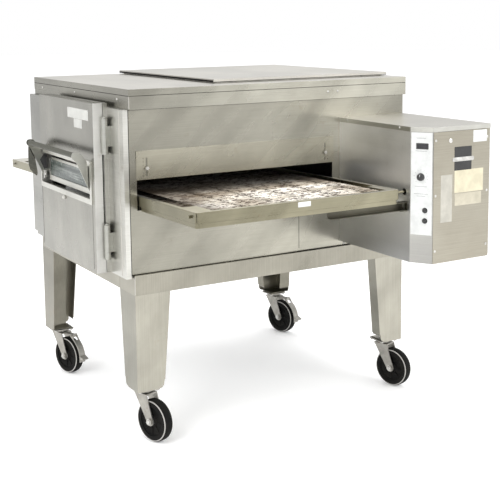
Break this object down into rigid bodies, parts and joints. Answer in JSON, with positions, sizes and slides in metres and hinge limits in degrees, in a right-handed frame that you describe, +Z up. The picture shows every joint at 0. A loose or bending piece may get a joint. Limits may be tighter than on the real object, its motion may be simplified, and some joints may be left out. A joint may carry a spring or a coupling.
{
  "type": "conveyor pizza oven",
  "caption": "Conveyor pizza oven on a low caster stand, with a hinged front door, drop-down window, wire belt through both ends and a side control box.",
  "frame": {"origin": "bottom centre of the bounding box, on the floor", "axes": "+Z up, X along the conveyor with the control box at +X, -Y is the door side"},
  "size_m": [1.9114, 1.42, 1.271],
  "materials": {
    "stainless": "brushed stainless sheet",
    "door_steel": "brushed stainless sheet",
    "base_paint": "satin metallic grey paint",
    "leg_steel": "satin stainless sheet",
    "zinc": "zinc plated",
    "tyre": "worn black rubber",
    "dark_steel": "heat-darkened steel",
    "glass": "smoked heat-resistant glass",
    "grip": "dark olive-grey sleeve",
    "hinge_steel": "bare turned steel",
    "rail_steel": "brushed stainless, warm",
    "belt_wire": "used wire belt",
    "overlay": "white printed overlay",
    "black_plastic": "black plastic",
    "control_steel": "brushed stainless sheet",
    "screw_steel": "plated screw heads",
    "motor_paint": "dark grey paint",
    "galvanised": "galvanised sheet"
  },
  "bodies": {
    "cabinet": {"base_frame": "base_paint", "caster_plates": "zinc", "end_panel_right": "stainless", "end_panel_left": "stainless", "rear_panel": "galvanised", "front_frame": "stainless", "bottom_pan": "galvanised", "chamber_liner": "dark_steel", "top_skirt": "stainless", "top_cover": "stainless", "top_panel": "stainless", "eyebrow_screws": "screw_steel", "frame_hinge_knuckles": "hinge_steel", "conveyor_frame": "rail_steel", "cross_rods": "zinc", "conveyor_belt": "belt_wire", "conveyor_supports": "control_steel", "air_fingers": "dark_steel", "plenum": "dark_steel", "blower_motor": "motor_paint", "heating_element": "dark_steel", "control_box": "control_steel", "control_side_panel": "control_steel", "control_top": "control_steel", "control_screws": "screw_steel", "control_overlay": "overlay", "gear_motor": "motor_paint", "leg_front_left": "leg_steel", "leg_front_right": "leg_steel", "leg_rear_right": "leg_steel", "leg_rear_left": "leg_steel"},
    "fork_front_left": {"caster_fork_front_left": "zinc"},
    "wheel_front_left": {"caster_wheel_front_left": "tyre"},
    "brake_front_left": {"caster_brake_front_left": "zinc"},
    "fork_front_right": {"caster_fork_front_right": "zinc"},
    "wheel_front_right": {"caster_wheel_front_right": "tyre"},
    "fork_rear_right": {"caster_fork_rear_right": "zinc"},
    "wheel_rear_right": {"caster_wheel_rear_right": "tyre"},
    "fork_rear_left": {"caster_fork_rear_left": "zinc"},
    "wheel_rear_left": {"caster_wheel_rear_left": "tyre"},
    "brake_rear_left": {"caster_brake_rear_left": "zinc"},
    "door": {"door_shell": "door_steel", "door_liner": "dark_steel", "door_hinge_knuckles": "hinge_steel", "window_trim": "door_steel", "door_bumper": "screw_steel", "door_ear": "door_steel"},
    "window_flap": {"window_sash": "door_steel", "window_glass": "glass", "handle_gussets": "hinge_steel", "handle_grip": "grip"},
    "eyebrow_right": {"eyebrow_right": "stainless"},
    "eyebrow_left": {"eyebrow_left": "stainless"},
    "crumb_pan": {"crumb_pan": "rail_steel"},
    "drive_shaft": {"drive_shaft": "zinc"},
    "idler_shaft": {"idler_shaft": "zinc"},
    "blower_wheel": {"blower_wheel": "dark_steel"},
    "main_knob": {"main_knob": "black_plastic"},
    "button_upper": {"button_upper": "black_plastic"},
    "button_lower": {"button_lower": "black_plastic"}
  },
  "joints": [
    {"name": "swivel_front_left", "type": "hinge", "parent": "cabinet", "child": "fork_front_left", "pos_m": [-0.439, -0.515, 0.18], "axis": [0, 0, 1], "continuous": true},
    {"name": "roll_front_left", "type": "hinge", "parent": "fork_front_left", "child": "wheel_front_left", "pos_m": [-0.39119, -0.50038, 0.0762], "axis": [-0.2924, 0.9563, 0], "continuous": true},
    {"name": "brake_front_left", "type": "hinge", "parent": "fork_front_left", "child": "brake_front_left", "pos_m": [-0.35867, -0.49044, 0.167], "axis": [-0.2924, 0.9563, 0], "range_deg": [0, 6], "stiffness_Nm_per_rad": 2},
    {"name": "swivel_front_right", "type": "hinge", "parent": "cabinet", "child": "fork_front_right", "pos_m": [0.419, -0.515, 0.18], "axis": [0, 0, 1], "continuous": true},
    {"name": "roll_front_right", "type": "hinge", "parent": "fork_front_right", "child": "wheel_front_right", "pos_m": [0.46681, -0.50038, 0.0762], "axis": [-0.2924, 0.9563, 0], "continuous": true},
    {"name": "swivel_rear_right", "type": "hinge", "parent": "cabinet", "child": "fork_rear_right", "pos_m": [0.419, 0.554, 0.18], "axis": [0, 0, 1], "continuous": true},
    {"name": "roll_rear_right", "type": "hinge", "parent": "fork_rear_right", "child": "wheel_rear_right", "pos_m": [0.46681, 0.56862, 0.0762], "axis": [-0.2924, 0.9563, 0], "continuous": true},
    {"name": "swivel_rear_left", "type": "hinge", "parent": "cabinet", "child": "fork_rear_left", "pos_m": [-0.439, 0.554, 0.18], "axis": [0, 0, 1], "continuous": true},
    {"name": "roll_rear_left", "type": "hinge", "parent": "fork_rear_left", "child": "wheel_rear_left", "pos_m": [-0.39119, 0.56862, 0.0762], "axis": [-0.2924, 0.9563, 0], "continuous": true},
    {"name": "brake_rear_left", "type": "hinge", "parent": "fork_rear_left", "child": "brake_rear_left", "pos_m": [-0.35867, 0.57856, 0.167], "axis": [-0.2924, 0.9563, 0], "range_deg": [0, 6], "stiffness_Nm_per_rad": 2},
    {"name": "door_hinge", "type": "hinge", "parent": "cabinet", "child": "door", "pos_m": [0.3355, -0.608, 0.9], "axis": [0, 0, 1], "range_deg": [0, 120]},
    {"name": "window_pivot", "type": "hinge", "parent": "door", "child": "window_flap", "pos_m": [0.022, -0.634, 0.89], "axis": [1, 0, 0], "range_deg": [0, 100]},
    {"name": "eyebrow_right", "type": "slide", "parent": "cabinet", "child": "eyebrow_right", "axis": [0, 0, 1], "range_m": [-0.03, 0.018]},
    {"name": "eyebrow_left", "type": "slide", "parent": "cabinet", "child": "eyebrow_left", "axis": [0, 0, 1], "range_m": [-0.03, 0.018]},
    {"name": "crumb_pan", "type": "slide", "parent": "cabinet", "child": "crumb_pan", "axis": [0.9998, 0, 0.0209], "range_m": [0, 0.38]},
    {"name": "drive_shaft_spin", "type": "hinge", "parent": "cabinet", "child": "drive_shaft", "pos_m": [0.85175, -0.14, 0.877], "axis": [0, 1, 0], "continuous": true},
    {"name": "idler_shaft_spin", "type": "hinge", "parent": "cabinet", "child": "idler_shaft", "pos_m": [-0.91536, -0.14, 0.83998], "axis": [0, 1, 0], "continuous": true},
    {"name": "blower_spin", "type": "hinge", "parent": "cabinet", "child": "blower_wheel", "pos_m": [-0.01, 0.53, 0.896], "axis": [0, 1, 0], "continuous": true},
    {"name": "main_knob_turn", "type": "hinge", "parent": "cabinet", "child": "main_knob", "pos_m": [0.91739, 0.32861, 0.936], "axis": [0.5603, -0.8283, 0], "range_deg": [0, 270]},
    {"name": "button_upper_press", "type": "slide", "parent": "cabinet", "child": "button_upper", "axis": [-0.5603, 0.8283, 0], "range_m": [0, 0.0025], "stiffness_N_per_m": 400},
    {"name": "button_lower_press", "type": "slide", "parent": "cabinet", "child": "button_lower", "axis": [-0.5603, 0.8283, 0], "range_m": [0, 0.0025], "stiffness_N_per_m": 400}
  ],
  "couplings": [
    {"joint": "idler_shaft_spin", "follows": "drive_shaft_spin", "ratio": 1}
  ]
}
